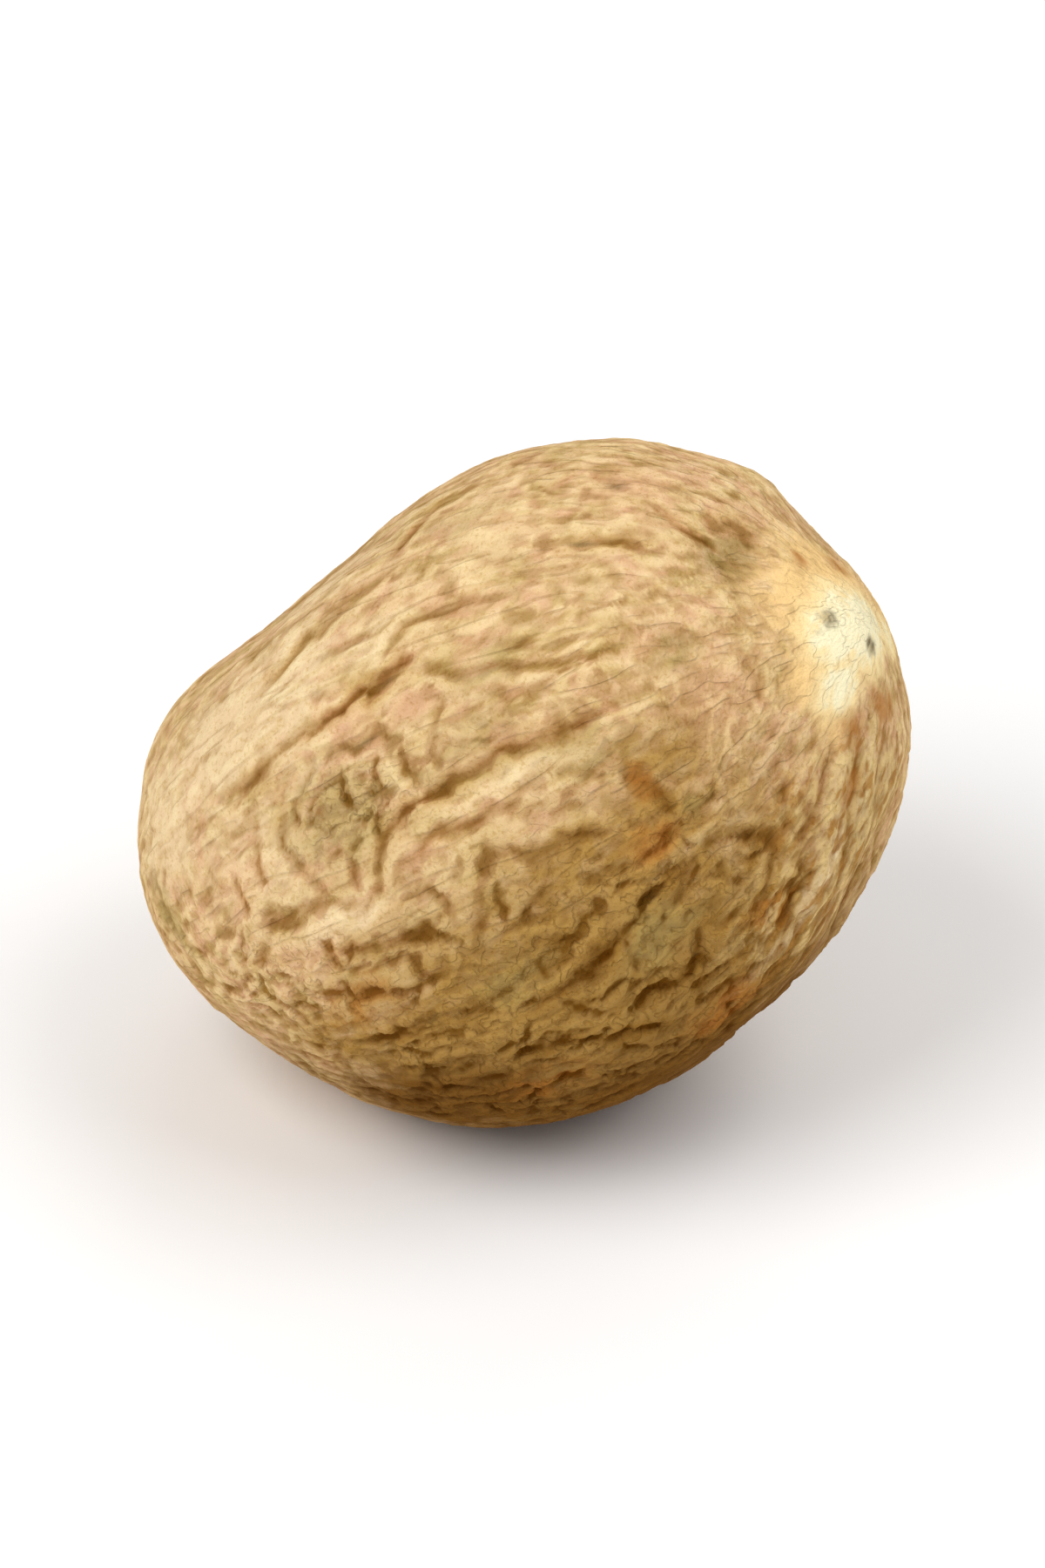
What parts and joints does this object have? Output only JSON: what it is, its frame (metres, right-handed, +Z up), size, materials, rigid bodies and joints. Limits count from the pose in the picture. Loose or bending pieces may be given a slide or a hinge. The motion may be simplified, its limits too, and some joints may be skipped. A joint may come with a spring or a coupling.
{
  "type": "whole nutmeg",
  "caption": "Whole dried nutmeg: a plump brown oval seed with wandering furrows, a pale scar at its raised end and a small pit at the other.",
  "frame": {"origin": "on the surface it rests on, under the middle of its bounding box", "axes": "+X along the seed towards the raised scar end, -Y out of the furrowed front that the picture shows, +Z up"},
  "size_m": [0.0242, 0.0202, 0.0221],
  "materials": {
    "nutmeg_skin": "dry, matt, dusty tan-brown seed skin: paler on the ridges, darker brown in the furrows, cream round the scar, slightly olive in the shaded hollows"
  },
  "bodies": {
    "root": {"nutmeg": "nutmeg_skin"}
  },
  "joints": []
}
